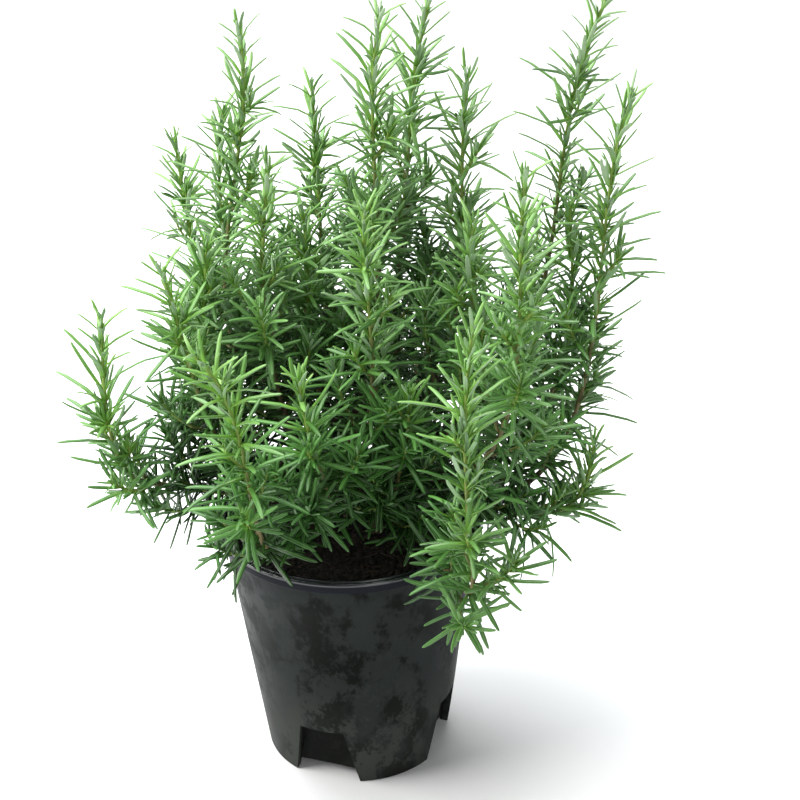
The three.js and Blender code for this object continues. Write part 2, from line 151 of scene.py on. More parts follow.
# Where leaves come out of the painted shade inside the plant, and where painted sunlight pales
# them, from none to full
UNSHADED_HEIGHT = (170 * MM, 290 * MM)
UNSHADED_RADIUS = (80 * MM, 125 * MM)
SUNLIT_HEIGHT = (180 * MM, 370 * MM)
SUNLIT_RADIUS = (90 * MM, 160 * MM)

# Seeds of whatever is random
TRUNK_SEED = 40
SHOOT_SEED = 11
SPLINTER_SEED = 3
CHIP_SEED = 5
FIBRE_SEED = 9

# ---- Node trees ---------------------------------------------------------------------------


def add(tree, kind, *values, **settings):
    """Adds a node. Values go to its inputs in order: a socket is linked, None is left alone."""
    made = tree.nodes.new(kind)
    for key, value in settings.items():
        setattr(made, key, value)
    sockets = [socket for socket in made.inputs if socket.enabled]
    for socket, value in zip(sockets, values):
        if isinstance(value, bpy.types.NodeSocket):
            tree.links.new(value, socket)
        elif value is not None:
            socket.default_value = value
    return made


def node(tree, kind, *values, **settings):
    """Adds a node and gives back the first output that it has in use."""
    made = add(tree, kind, *values, **settings)
    return next(socket for socket in made.outputs if socket.enabled)


def feed(tree, made, label, value):
    """Links a value to a node's input by its name."""
    tree.links.new(value, made.inputs[label])


def calc(tree, operation, *values):
    """One step of arithmetic."""
    return node(tree, "ShaderNodeMath", *values, operation=operation)


def total(tree, first, *others):
    """A sum of several numbers."""
    for other in others:
        first = calc(tree, "ADD", first, other)
    return first


def product(tree, first, *others):
    """A product of several numbers."""
    for other in others:
        first = calc(tree, "MULTIPLY", first, other)
    return first


def vector(tree, operation, *values):
    """One step of arithmetic with vectors."""
    return node(tree, "ShaderNodeVectorMath", *values, operation=operation)


def blend_number(tree, share, low, high):
    return node(tree, "ShaderNodeMix", share, low, high, data_type="FLOAT")


def blend_colour(tree, share, low, high):
    return node(tree, "ShaderNodeMix", share, low, high, data_type="RGBA")


def ramp(tree, value, low, high, to_low=0.0, to_high=1.0):
    """A smooth step from low to high."""
    settings = {"interpolation_type": "SMOOTHSTEP"}
    return node(tree, "ShaderNodeMapRange", value, low, high, to_low, to_high, **settings)


def noise(tree, coordinates, scale, detail, roughness):
    """Even, cloudy noise from 0 to 1."""
    return node(tree, "ShaderNodeTexNoise", coordinates, scale, detail, roughness)


def attribute(tree, name):
    """In a material: a value that the mesh carries."""
    made = add(tree, "ShaderNodeAttribute", attribute_name=name)
    return made.outputs["Fac"]


def named(tree, name, data_type="FLOAT"):
    """In a geometry tree: a value that the mesh carries."""
    return node(tree, "GeometryNodeInputNamedAttribute", name, data_type=data_type)


def store(tree, geometry, name, value, data_type="FLOAT"):
    """The geometry with a value kept on its points."""
    kind = "GeometryNodeStoreNamedAttribute"
    settings = {"data_type": data_type, "domain": "POINT"}
    return node(tree, kind, geometry, None, name, value, **settings)


def between(tree, low, high, seed, channel):
    """A random number for each element, from one channel of the tree's seed."""
    picked = calc(tree, "MULTIPLY_ADD", seed, 64.0, float(channel))
    return node(tree, "FunctionNodeRandomValue", low, high, None, picked, data_type="FLOAT")


# ---- Shader groups ------------------------------------------------------------------------


def new_group(name, kind, inputs, outputs):
    """An empty group. Its sockets are (label, type) and, for inputs, a value to start with."""
    tree = bpy.data.node_groups.new(name, kind)
    for label, type_name, default in inputs:
        settings = {"in_out": "INPUT", "socket_type": "NodeSocket" + type_name}
        socket = tree.interface.new_socket(label, **settings)
        if default is not None:
            socket.default_value = default
    for label, type_name in outputs:
        settings = {"in_out": "OUTPUT", "socket_type": "NodeSocket" + type_name}
        tree.interface.new_socket(label, **settings)
    given = tree.nodes.new("NodeGroupInput").outputs
    result = tree.nodes.new("NodeGroupOutput").inputs
    return tree, given, result


def patches_group():
    """Soft irregular patches, large ones broken up by small ones: dust, stains and flaking."""
    tree, given, result = new_group(
        "Patches",
        "ShaderNodeTree",
        [
            ("Vector", "Vector", None),
            ("Scale", "Float", 30.0),
            ("Break Up", "Float", 0.4),
            ("Start", "Float", 0.45),
            ("Full", "Float", 0.6),
        ],
        [("Mask", "Float")],
    )
    large = noise(tree, given["Vector"], given["Scale"], 2.0, 0.5)
    fine_scale = product(tree, given["Scale"], 6.0)
    small = noise(tree, given["Vector"], fine_scale, 4.0, 0.65)
    value = blend_number(tree, given["Break Up"], large, small)
    tree.links.new(ramp(tree, value, given["Start"], given["Full"]), result["Mask"])
    return tree


def grain_group():
    """A fine uneven height for bump, as on moulded plastic, bark and soil."""
    tree, given, result = new_group(
        "Grain",
        "ShaderNodeTree",
        [
            ("Vector", "Vector", None),
            ("Scale", "Float", 800.0),
            ("Coarse", "Float", 0.5),
        ],
        [("Height", "Float")],
    )
    fine = noise(tree, given["Vector"], given["Scale"], 3.0, 0.6)
    coarse_scale = calc(tree, "DIVIDE", given["Scale"], 7.0)
    coarse = noise(tree, given["Vector"], coarse_scale, 2.0, 0.5)
    tree.links.new(blend_number(tree, given["Coarse"], fine, coarse), result["Height"])
    return tree


PATCHES = patches_group()
GRAIN = grain_group()


def use_group(tree, group, *values):
    """Places a group in a material and gives back its one output."""
    made = add(tree, "ShaderNodeGroup", node_tree=group)
    for socket, value in zip(made.inputs, values):
        if isinstance(value, bpy.types.NodeSocket):
            tree.links.new(value, socket)
        else:
            socket.default_value = value
    return made.outputs[0]


# ---- Materials ----------------------------------------------------------------------------


def new_material(name, roughness, **fixed):
    """A material with one Principled shader. Fixed numbers go on the shader's own sockets."""
    material = bpy.data.materials.new(name)
    material.use_nodes = True
    tree = material.node_tree
    shader = tree.nodes["Principled BSDF"]
    shader.inputs["Roughness"].default_value = roughness
    for label, value in fixed.items():
        shader.inputs[label.replace("_", " ")].default_value = value
    place = tree.nodes.new("ShaderNodeTexCoord").outputs["Object"]
    return material, tree, shader, place


def connect_bump(tree, shader, height, strength, distance):
    """Relief from a height, which stands out by a distance in metres."""
    bump = add(tree, "ShaderNodeBump")
    bump.inputs["Strength"].default_value = strength
    bump.inputs["Distance"].default_value = distance
    feed(tree, bump, "Height", height)
    feed(tree, shader, "Normal", bump.outputs["Normal"])


def stretched(tree, place, x, y, z):
    """Coordinates scaled along each axis, which draws a pattern out along the smallest."""
    return vector(tree, "MULTIPLY", place, (x, y, z))


def height_of(tree, place):
    """Height above the ground."""
    return add(tree, "ShaderNodeSeparateXYZ", place).outputs["Z"]


def from_axis(tree, place):
    """Distance from the upright line through the middle of the pot."""
    return vector(tree, "LENGTH", vector(tree, "MULTIPLY", place, (1.0, 1.0, 0.0)))


def pot_plastic():
    """Black plastic, smeared with grey-green dust and splashed at its foot, with painted shade in
    the recesses behind the notches. The rim is cleaner.
    """
    material, tree, shader, place = new_material(
        "pot_plastic", 0.45, Specular_IOR_Level=0.05, Coat_Roughness=0.2, Coat_IOR=1.85
    )
    height = height_of(tree, place)
    drawn = stretched(tree, place, 1.0, 1.0, 0.7)
    dust = use_group(tree, PATCHES, drawn, 70.0, 0.4, 0.46, 0.57)
    smears = use_group(tree, PATCHES, drawn, 38.0, 0.3, 0.47, 0.58)
    dusty = blend_colour(tree, dust, (0.0020, 0.0032, 0.0020, 1), (0.0160, 0.0190, 0.0175, 1))
    smeared = blend_colour(tree, smears, dusty, (0.0195, 0.0238, 0.0232, 1))
    mixed = blend_colour(tree, 0.75, dusty, smeared)
    low_down = ramp(tree, height, 85 * MM, 15 * MM)
    splashed = product(tree, low_down, blend_number(tree, dust, 0.25, 1.0))
    wall = blend_colour(tree, splashed, mixed, (0.0400, 0.0440, 0.0385, 1))
    # Painted shade in the recesses behind the notches, where the plastic also carries no dust
    outside = calc(tree, "MULTIPLY_ADD", height, WALL_SLOPE, FOOT_RADIUS)
    depth = calc(tree, "SUBTRACT", outside, from_axis(tree, place))  # in from the wall
    recess_shade = ramp(tree, depth, 1.2 * MM, 5 * MM, 0.0, 0.8)
    shaded_and_clean = blend_colour(tree, recess_shade, wall, (0.0030, 0.0040, 0.0030, 1))
    rim = ramp(tree, height, POT_HEIGHT - 7 * MM, POT_HEIGHT - 5.6 * MM)
    colour = blend_colour(tree, rim, shaded_and_clean, (0.0085, 0.0102, 0.0145, 1))
    feed(tree, shader, "Base Color", colour)
    wall_gloss = blend_number(tree, dust, 0.42, 0.62)
    feed(tree, shader, "Roughness", blend_number(tree, rim, wall_gloss, 0.2))
    beads = ramp(tree, height, POT_HEIGHT - 2.2 * MM, POT_HEIGHT - 0.8 * MM)
    feed(tree, shader, "Coat Weight", beads)
    relief = use_group(tree, GRAIN, place, 900.0, 0.6)
    connect_bump(tree, shader, relief, 0.25, 0.3 * MM)
    return material


def leaf_surface():
    """Leathery green above with a pale midrib, felted below, with painted shade low down and near
    the middle of the plant and painted sunlight at its top and outside.
    """
    material, tree, shader, place = new_material("rosemary_leaf", 0.35, Specular_IOR_Level=0.4)
    age = attribute(tree, "age")
    tone = attribute(tree, "tone")
    upper = attribute(tree, "upper")
    across = calc(tree, "ABSOLUTE", attribute(tree, "across"))
    height = height_of(tree, place)
    radius = from_axis(tree, place)
    # Painted shade: leaves low down and near the middle of the plant take darker, older-looking
    # greens
    high_up = ramp(tree, height, *UNSHADED_HEIGHT)
    well_out = ramp(tree, radius, *UNSHADED_RADIUS)
    unshaded = calc(tree, "MAXIMUM", high_up, well_out)
    shaded_age = product(tree, age, blend_number(tree, unshaded, 0.35, 1.0))
    # The darkest greens stand for old leaves and for painted shade inside the plant
    old_and_shaded = blend_colour(tree, tone, (0.0015, 0.020, 0.0008, 1), (0.008, 0.062, 0.002, 1))
    deep = blend_colour(tree, tone, (0.009, 0.080, 0.003, 1), (0.062, 0.235, 0.026, 1))
    young = blend_colour(tree, tone, (0.120, 0.320, 0.030, 1), (0.260, 0.480, 0.090, 1))
    grown = blend_colour(tree, ramp(tree, shaded_age, 0.15, 0.55), old_and_shaded, deep)
    green = blend_colour(tree, ramp(tree, shaded_age, 0.62, 1.08), grown, young)
    # Painted sunlight: leaves at the top and outside of the plant turn pale mint, above and below
    outermost = ramp(tree, radius, *SUNLIT_RADIUS, 0.0, 0.7)
    sunlit = calc(tree, "MAXIMUM", ramp(tree, height, *SUNLIT_HEIGHT), outermost)
    painted_sunlight = product(tree, sunlit, blend_number(tree, tone, 0.25, 0.75))
    top = blend_colour(tree, painted_sunlight, green, (0.260, 0.440, 0.160, 1))
    midrib = ramp(tree, across, 0.05, 0.28, 0.55, 0.0)
    ribbed = blend_colour(tree, midrib, top, (0.170, 0.340, 0.110, 1))
    # The felt below is darker in painted shade and paler where painted light falls
    riper_and_lit = ramp(tree, shaded_age, 0.10, 0.55)
    dark_felt = blend_colour(tree, riper_and_lit, (0.012, 0.058, 0.006, 1), (0.085, 0.215, 0.050, 1))
    felt_shade_to_light = blend_colour(tree, unshaded, (0.090, 0.200, 0.060, 1), (0.260, 0.410, 0.225, 1))
    plain_felt = blend_colour(tree, tone, dark_felt, felt_shade_to_light)
    felt = blend_colour(tree, painted_sunlight, plain_felt, (0.400, 0.520, 0.340, 1))
    mottled = use_group(tree, PATCHES, place, 260.0, 0.4, 0.35, 0.7)
    faint = product(tree, mottled, 0.25)
    worn = blend_colour(tree, faint, ribbed, (0.100, 0.240, 0.045, 1))
    both = blend_colour(tree, upper, felt, worn)
    near_stem = ramp(tree, attribute(tree, "along"), 0.55, 0.05)
    tender = product(tree, near_stem, ramp(tree, shaded_age, 0.35, 0.85, 0.0, 0.75))
    colour = blend_colour(tree, tender, both, (0.190, 0.410, 0.030, 1))
    feed(tree, shader, "Base Color", colour)
    feed(tree, shader, "Roughness", blend_number(tree, upper, 0.80, 0.34))
    grain = use_group(tree, GRAIN, place, 2600.0, 0.4)
    connect_bump(tree, shader, grain, 0.3, 0.15 * MM)
    return material


def shoot_bark():
    """Yellow-green at the tip of a shoot, pinkish tan lower down and grey-brown at its foot."""
    material, tree, shader, place = new_material("shoot_bark", 0.6)
    age = attribute(tree, "age")
    streaks = noise(tree, stretched(tree, place, 1.0, 1.0, 0.15), 900.0, 3.0, 0.6)
    brown = blend_colour(tree, streaks, (0.026, 0.016, 0.009, 1), (0.080, 0.050, 0.028, 1))
    tan = blend_colour(tree, streaks, (0.100, 0.080, 0.030, 1), (0.230, 0.190, 0.080, 1))
    green = blend_colour(tree, streaks, (0.150, 0.240, 0.035, 1), (0.270, 0.370, 0.075, 1))
    lower = blend_colour(tree, ramp(tree, age, 0.12, 0.4), brown, tan)
    colour = blend_colour(tree, ramp(tree, age, 0.45, 0.85), lower, green)
    feed(tree, shader, "Base Color", colour)
    connect_bump(tree, shader, streaks, 0.4, 0.3 * MM)
    return material


def trunk_bark():
    """Grey-brown bark that splits and flakes along the trunk."""
    material, tree, shader, place = new_material("trunk_bark", 0.85)
    along = stretched(tree, place, 1.0, 1.0, 0.22)
    fissures = noise(tree, along, 420.0, 5.0, 0.65)
    flakes = use_group(tree, PATCHES, along, 120.0, 0.4, 0.45, 0.6)
    split = blend_colour(tree, fissures, (0.030, 0.019, 0.012, 1), (0.210, 0.145, 0.095, 1))
    faint = product(tree, flakes, 0.5)
    colour = blend_colour(tree, faint, split, (0.300, 0.240, 0.180, 1))
    feed(tree, shader, "Base Color", colour)
    connect_bump(tree, shader, fissures, 0.9, 1.2 * MM)
    return material


def soil_crumb():
    """Dark damp compost with lighter dry crumbs."""
    material, tree, shader, place = new_material("soil_crumb", 0.92)
    crumbs = noise(tree, place, 520.0, 5.0, 0.7)
    dry = use_group(tree, PATCHES, place, 90.0, 0.5, 0.5, 0.68)
    damp = blend_colour(tree, crumbs, (0.0020, 0.0018, 0.0012, 1), (0.0130, 0.0112, 0.0072, 1))
    colour = blend_colour(tree, product(tree, dry, 0.5), damp, (0.030, 0.024, 0.016, 1))
    feed(tree, shader, "Base Color", colour)
    connect_bump(tree, shader, crumbs, 1.0, 1.5 * MM)
    return material


def bark_chip(name, dark, light):
    """Bark and fibre pieces in the compost, each with its own shade."""
    material, tree, shader, place = new_material(name, 0.85)
    tone = attribute(tree, "tone")
    fibre = noise(tree, place, 1400.0, 4.0, 0.6)
    shade = blend_colour(tree, tone, dark, light)
    colour = blend_colour(tree, product(tree, fibre, 0.6), shade, dark)
    feed(tree, shader, "Base Color", colour)
    connect_bump(tree, shader, fibre, 0.6, 0.5 * MM)
    return material


def stage_white():
    """The plain floor and backdrop."""
    material, _, shader, _ = new_material("stage_white", 0.7)
    shader.inputs["Base Color"].default_value = (0.86, 0.86, 0.86, 1)
    return material


POT_PLASTIC = pot_plastic()
LEAF = leaf_surface()
SHOOT_BARK = shoot_bark()
TRUNK_BARK = trunk_bark()
SOIL_CRUMB = soil_crumb()
CHIP = bark_chip("bark_chip", (0.0040, 0.0034, 0.0022, 1), (0.0340, 0.0225, 0.0135, 1))
FIBRE = bark_chip("compost_fibre", (0.014, 0.009, 0.006, 1), (0.075, 0.050, 0.030, 1))

# ---- Geometry trees -----------------------------------------------------------------------


def geometry_tree(name, inputs):
    """An empty geometry tree with its named inputs, and a geometry in and out."""
    inputs = [("Geometry", "Geometry", None)] + inputs
    tree, given, result = new_group(name, "GeometryNodeTree", inputs, [("Geometry", "Geometry")])
    return tree, given, result[0]


CURVE_INPUTS = [
    ("Root", "Vector", None),
    ("Low", "Vector", None),
    ("High", "Vector", None),
    ("Tip", "Vector", None),
]


def shoot_curve(tree, given, resolution):
    """The curve of a stem, which its leaves follow too."""
    ends = [given[label] for label in ("Root", "Low", "High", "Tip")]
    return node(tree, "GeometryNodeCurvePrimitiveBezierSegment", resolution, *ends)


def finish_tree(tree, geometry, material, result):
    """Every tree ends in plain geometry with one material."""
    real = node(tree, "GeometryNodeRealizeInstances", geometry)
    smooth = node(tree, "GeometryNodeSetShadeSmooth", real, None, True)
    tree.links.new(node(tree, "GeometryNodeSetMaterial", smooth, None, material), result)


def stem_tree():
    """A stem that thins along its curve, with a slight swelling where each pair of leaves sits."""
    tree, given, result = geometry_tree(
        "Stem along a curve",
        CURVE_INPUTS
        + [
            ("Base Radius", "Float", STEM_BASE_RADIUS),
            ("Tip Radius", "Float", STEM_TIP_RADIUS),
            ("Nodes", "Float", 30.0),
            ("Knobbly", "Float", 0.1),
            ("Young", "Float", 0.0),
            ("Steps", "Int", 60),
            ("Sides", "Int", 8),
            ("Material", "Material", None),
        ],
    )
    curve = shoot_curve(tree, given, 32)
    even = node(tree, "GeometryNodeResampleCurve", curve, None, given["Steps"])
    share = add(tree, "GeometryNodeSplineParameter").outputs["Factor"]
    age = blend_number(tree, share, given["Young"], 1.0)
    aged = store(tree, even, "age", age)
    wave = calc(tree, "COSINE", product(tree, share, given["Nodes"], math.tau))
    swell = calc(tree, "POWER", calc(tree, "MULTIPLY_ADD", wave, 0.5, 0.5), 4.0)
    place = node(tree, "GeometryNodeInputPosition")
    lumps = noise(tree, place, 60.0, 2.0, 0.5)
    uneven = product(tree, total(tree, swell, lumps), given["Knobbly"])
    thick = calc(tree, "POWER", calc(tree, "SUBTRACT", 1.0, share), 2.0)
    taper = blend_number(tree, thick, given["Tip Radius"], given["Base Radius"])
    radius = product(tree, taper, total(tree, uneven, 1.0))
    circle = node(tree, "GeometryNodeCurvePrimitiveCircle", given["Sides"], 1.0, mode="RADIUS")
    tube = node(tree, "GeometryNodeCurveToMesh", aged, circle, radius, True)
    finish_tree(tree, tube, given["Material"], result)
    return tree


def leaf_tree():
    """Leaves in crossed pairs up a shoot, small ones in the axils, closing up towards the tip."""
    tree, given, result = geometry_tree(
        "Leaves along a curve",
        CURVE_INPUTS
        + [
            ("Nodes", "Int", 30),
            ("Bare Share", "Float", 0.18),
            ("Leaf Length", "Float", LEAF_LENGTH),
            ("Leaf Half Width", "Float", LEAF_HALF_WIDTH),
            ("Stem Base Radius", "Float", STEM_BASE_RADIUS),
            ("Stem Tip Radius", "Float", STEM_TIP_RADIUS),
            ("Young", "Float", 0.0),
            ("Tip Age", "Float", 1.0),
            ("Lift", "Float", 0.12),
            ("Seed", "Int", 1),
            ("Leaf", "Object", None),
            ("Material", "Material", None),
        ],
    )
    seed = given["Seed"]
    curve = shoot_curve(tree, given, 64)
    count = product(tree, given["Nodes"], float(LEAVES_PER_NODE))
    points = node(tree, "GeometryNodePoints", count)

    # Which pair a leaf belongs to, which side it is on, and whether it is an axil leaf
    number = node(tree, "GeometryNodeInputIndex")
    pair = calc(tree, "FLOOR", calc(tree, "DIVIDE", number, float(LEAVES_PER_NODE)))
    member = calc(tree, "SUBTRACT", number, product(tree, pair, float(LEAVES_PER_NODE)))
    opposite = calc(tree, "MODULO", member, 2.0)
    small = calc(tree, "GREATER_THAN", member, 1.5)

    # How far up the shoot, with the pairs closer together towards the tip
    jitter = between(tree, 0.0, 0.5, seed, 1)
    raised = total(tree, pair, total(tree, jitter, 0.4))
    level = calc(tree, "DIVIDE", raised, given["Nodes"])
    rest = calc(tree, "MAXIMUM", calc(tree, "SUBTRACT", 1.0, level), 0.0)
    climbed = calc(tree, "SUBTRACT", 1.0, calc(tree, "POWER", rest, 1.15))
    share = blend_number(tree, climbed, given["Bare Share"], 1.0)
    spot = add(tree, "GeometryNodeSampleCurve", curve, None, share, use_all_curves=True)
    centre, tangent, normal = spot.outputs[1], spot.outputs[2], spot.outputs[3]
    binormal = vector(tree, "CROSS_PRODUCT", tangent, normal)

    # Direction: a quarter turn from pair to pair, wide below and close to the stem at the tip
    loose = blend_number(tree, small, 0.30, 0.75)
    wander = product(tree, between(tree, -1.0, 1.0, seed, 2), loose)
    quarter = product(tree, pair, math.pi / 2 + 0.12)
    turn = total(tree, quarter, product(tree, opposite, math.pi), wander)
    side_part = vector(tree, "SCALE", normal, calc(tree, "COSINE", turn))
    other_part = vector(tree, "SCALE", binormal, calc(tree, "SINE", turn))
    outward = vector(tree, "ADD", side_part, other_part)
    closing = calc(tree, "POWER", share, 2.4)
    wide = blend_number(tree, closing, math.radians(84), math.radians(27))
    narrower = product(tree, small, math.radians(26))
    spread_wander = between(tree, math.radians(-14), math.radians(14), seed, 3)
    spread = total(tree, calc(tree, "SUBTRACT", wide, narrower), spread_wander)
    along_part = vector(tree, "SCALE", tangent, calc(tree, "COSINE", spread))
    out_part = vector(tree, "SCALE", outward, calc(tree, "SINE", spread))
    lift = node(tree, "ShaderNodeCombineXYZ", 0.0, 0.0, given["Lift"])
    leaning = vector(tree, "ADD", along_part, out_part)
    heading = vector(tree, "NORMALIZE", vector(tree, "ADD", leaning, lift))
    shadow = vector(tree, "SCALE", heading, vector(tree, "DOT_PRODUCT", tangent, heading))
    face = vector(tree, "NORMALIZE", vector(tree, "SUBTRACT", tangent, shadow))

    # Size: shorter at the foot of the shoot and at its tip
    grown = ramp(tree, share, 0.1, 0.5, 0.82, 1.0)
    shrinking = ramp(tree, share, 0.80, 1.0, 1.0, 0.48)
    main_size = between(tree, 0.74, 1.10, seed, 4)
    small_size = between(tree, 0.26, 0.62, seed, 5)
    size = product(tree, grown, shrinking, blend_number(tree, small, main_size, small_size))
    length = product(tree, size, given["Leaf Length"])
    broad = calc(tree, "POWER", size, 0.45)
    half_width = product(tree, broad, given["Leaf Half Width"])
    thin = calc(tree, "POWER", calc(tree, "SUBTRACT", 1.0, share), 2.0)
    stem = blend_number(tree, thin, given["Stem Tip Radius"], given["Stem Base Radius"])
    sunk = vector(tree, "SCALE", outward, product(tree, stem, 0.7))
    base = vector(tree, "ADD", centre, sunk)
    placed = node(tree, "GeometryNodeSetPosition", points, None, base)

    # What each leaf carries for its bend and its colour
    bend = product(tree, between(tree, -0.50, 0.14, seed, 6), length)
    sway = product(tree, between(tree, -0.18, 0.18, seed, 7), length)
    sideways = vector(tree, "CROSS_PRODUCT", heading, face)
    bending = vector(tree, "SCALE", face, bend)
    curl = vector(tree, "ADD", bending, vector(tree, "SCALE", sideways, sway))
    carried = store(tree, placed, "curl", curl, "FLOAT_VECTOR")
    ripe = blend_number(tree, share, given["Young"], given["Tip Age"])
    age = total(tree, ripe, product(tree, small, 0.12))
    carried = store(tree, carried, "age", age)
    carried = store(tree, carried, "tone", between(tree, 0.0, 1.0, seed, 8))

    # No leaf grows through the rim, the wall or the soil
    blocked = 0.0
    for reach in (0.0, 0.25, 0.5, 0.75, 1.0):
        straight = vector(tree, "SCALE", heading, product(tree, length, reach))
        strayed = vector(tree, "ADD", straight, vector(tree, "SCALE", curl, reach * reach))
        point = vector(tree, "ADD", base, strayed)
        blocked = calc(tree, "MAXIMUM", blocked, inside_pot(tree, point))
    free = calc(tree, "LESS_THAN", blocked, 0.5)

    axes = {"primary_axis": "Z", "secondary_axis": "Y"}
    turned = node(tree, "FunctionNodeAxesToRotation", heading, face, **axes)
    scale = node(tree, "ShaderNodeCombineXYZ", half_width, half_width, length)
    leaf = add(tree, "GeometryNodeObjectInfo", given["Leaf"]).outputs["Geometry"]
    copies = add(tree, "GeometryNodeInstanceOnPoints", carried, None, leaf)
    feed(tree, copies, "Selection", free)
    feed(tree, copies, "Rotation", turned)
    feed(tree, copies, "Scale", scale)
    real = node(tree, "GeometryNodeRealizeInstances", copies.outputs[0])

    # Bends grow with the square of the distance along a leaf
    along = named(tree, "along")
    squared = product(tree, along, along)
    offset = vector(tree, "SCALE", named(tree, "curl", "FLOAT_VECTOR"), squared)
    bent = node(tree, "GeometryNodeSetPosition", real, None, None, offset)
    finish_tree(tree, bent, given["Material"], result)
    return tree


def inside_pot(tree, place):
    """1 where a point lies in or under the rim, or in the soil, and 0 elsewhere."""
    height = height_of(tree, place)
    radius = from_axis(tree, place)
    near = calc(tree, "LESS_THAN", radius, RIM_RADIUS + LEAF_GAP)
    below_rim = calc(tree, "LESS_THAN", height, POT_HEIGHT + LEAF_GAP)
    off_rim = calc(tree, "LESS_THAN", radius, RIM_RADIUS - RIM_WIDTH - LEAF_GAP)
    above_soil = calc(tree, "GREATER_THAN", height, SOIL_TOP + SOIL_MOUND + LEAF_GAP)
    open_space = product(tree, off_rim, above_soil)
    solid = calc(tree, "SUBTRACT", 1.0, open_space)
    return product(tree, near, below_rim, solid)


def scatter_tree():
    """Loose pieces lying on a surface at random turns and sizes."""
    tree, given, result = geometry_tree(
        "Scatter",
        [
            ("Density", "Float", 1000.0),
            ("Smallest", "Float", 0.5),
            ("Largest", "Float", 1.0),
            ("Tilt", "Float", 0.4),
            ("Seed", "Int", 1),
            ("Piece", "Object", None),
            ("Material", "Material", None),
        ],
    )
    seed = given["Seed"]
    spread = add(tree, "GeometryNodeDistributePointsOnFaces", distribute_method="RANDOM")
    feed(tree, spread, "Mesh", given["Geometry"])
    feed(tree, spread, "Density", given["Density"])
    feed(tree, spread, "Seed", seed)
    toned = store(tree, spread.outputs["Points"], "tone", between(tree, 0.0, 1.0, seed, 1))
    tilt = given["Tilt"]
    lean = product(tree, between(tree, -1.0, 1.0, seed, 2), tilt)
    tip = product(tree, between(tree, -1.0, 1.0, seed, 3), tilt)
    turn = between(tree, 0.0, math.tau, seed, 4)
    angles = node(tree, "ShaderNodeCombineXYZ", lean, tip, turn)
    share = between(tree, 0.0, 1.0, seed, 5)
    size = blend_number(tree, share, given["Smallest"], given["Largest"])
    piece = add(tree, "GeometryNodeObjectInfo", given["Piece"]).outputs["Geometry"]
    copies = add(tree, "GeometryNodeInstanceOnPoints", toned, None, piece)
    feed(tree, copies, "Rotation", angles)
    feed(tree, copies, "Scale", size)
    finish_tree(tree, copies.outputs[0], given["Material"], result)
    return tree


STEM_TREE = stem_tree()
LEAF_TREE = leaf_tree()
SCATTER_TREE = scatter_tree()


def new_object(name, mesh):
    """An object in the scene."""
    made = bpy.data.objects.new(name, mesh)
    bpy.context.scene.collection.objects.link(made)
    return made


def grow(tree, start_mesh, **values):
    """Runs a geometry tree and gives back its result as a plain mesh."""
    carrier = new_object("carrier", start_mesh)
    modifier = carrier.modifiers.new("grow", "NODES")
    modifier.node_group = tree
    sockets = [item for item in tree.interface.items_tree if item.in_out == "INPUT"]
    identifiers = {item.name: item.identifier for item in sockets}
    for label, value in values.items():
        modifier[identifiers[label.replace("_", " ")]] = value
    graph = bpy.context.evaluated_depsgraph_get()
    mesh = bpy.data.meshes.new_from_object(carrier.evaluated_get(graph), depsgraph=graph)
    carrier.modifiers.remove(modifier)
    bpy.data.objects.remove(carrier)
    return mesh


def joined(meshes):
    """Several meshes with the same material as one."""
    whole = bmesh.new()
    for mesh in meshes:
        whole.from_mesh(mesh)
    result = meshes[0].copy()
    whole.to_mesh(result)
    whole.free()
    return result


def finished(shape, name, outwards=True):
    """The mesh of a shape under construction, with its faces turned outwards."""
    if outwards:
        bmesh.ops.recalc_face_normals(shape, faces=shape.faces)
    mesh = bpy.data.meshes.new(name)
    shape.to_mesh(mesh)
    shape.free()
    return mesh


def bridge(shape, lower, upper):
    """Four-sided faces between two rings with the same number of points, in their order."""
    sides = len(lower)
    faces = []
    for i in range(sides):
        j = (i + 1) % sides
        faces.append(shape.faces.new((lower[i], lower[j], upper[j], upper[i])))
    return faces


# ---- Pot ----------------------------------------------------------------------------------


def wall_radius(height):
    """The outside of the wall."""
    return FOOT_RADIUS + WALL_SLOPE * height


def turned_mesh(name, profile, sides):
    """A profile of (radius, height) turned about Z. Its ends are on the axis and become poles."""
    shape = bmesh.new()
    turns = [math.tau * i / sides for i in range(sides)]
    rings = []
    for radius, height in profile:
        if radius == 0:
            corners = [(0, 0, height)]
        else:
            corners = [(radius * math.cos(a), radius * math.sin(a), height) for a in turns]
        rings.append([shape.verts.new(corner) for corner in corners])
    for lower, upper in zip(rings, rings[1:]):
        if len(lower) == len(upper):
            bridge(shape, lower, upper)
            continue
        for i in range(sides):
            j = (i + 1) % sides
            if len(lower) == 1:
                shape.faces.new((lower[0], upper[j], upper[i]))
            else:
                shape.faces.new((lower[i], lower[j], upper[0]))
    return finished(shape, name)


def arc(centre, radius, start, end, steps):
    """Points of a rounded corner, from one angle to another in degrees."""
    angles = [math.radians(start + (end - start) * i / steps) for i in range(steps + 1)]
    return [(centre[0] + radius * math.cos(a), centre[1] + radius * math.sin(a)) for a in angles]


def rim_profile():
    """The flanged rim: two rounded beads with a groove between, and a lip outside the wall."""
    lip = POT_HEIGHT - RIM_HEIGHT
    outer = 1.3 * MM
    inner = 0.9 * MM
    groove = POT_HEIGHT - 0.9 * MM
    inside = wall_radius(POT_HEIGHT) - POT_WALL
    profile = [(wall_radius(lip) + 0.6 * MM, lip)]
    profile += arc((RIM_RADIUS - 0.7 * MM, lip + 0.7 * MM), 0.7 * MM, -90, 0, 4)
    profile += arc((RIM_RADIUS - outer, POT_HEIGHT - outer), outer, 0, 140, 9)
    profile += [(RIM_RADIUS - 2.6 * MM, groove), (inside + 1.8 * MM, groove)]
    profile += arc((inside + inner, POT_HEIGHT - inner), inner, 40, 180, 8)
    return profile


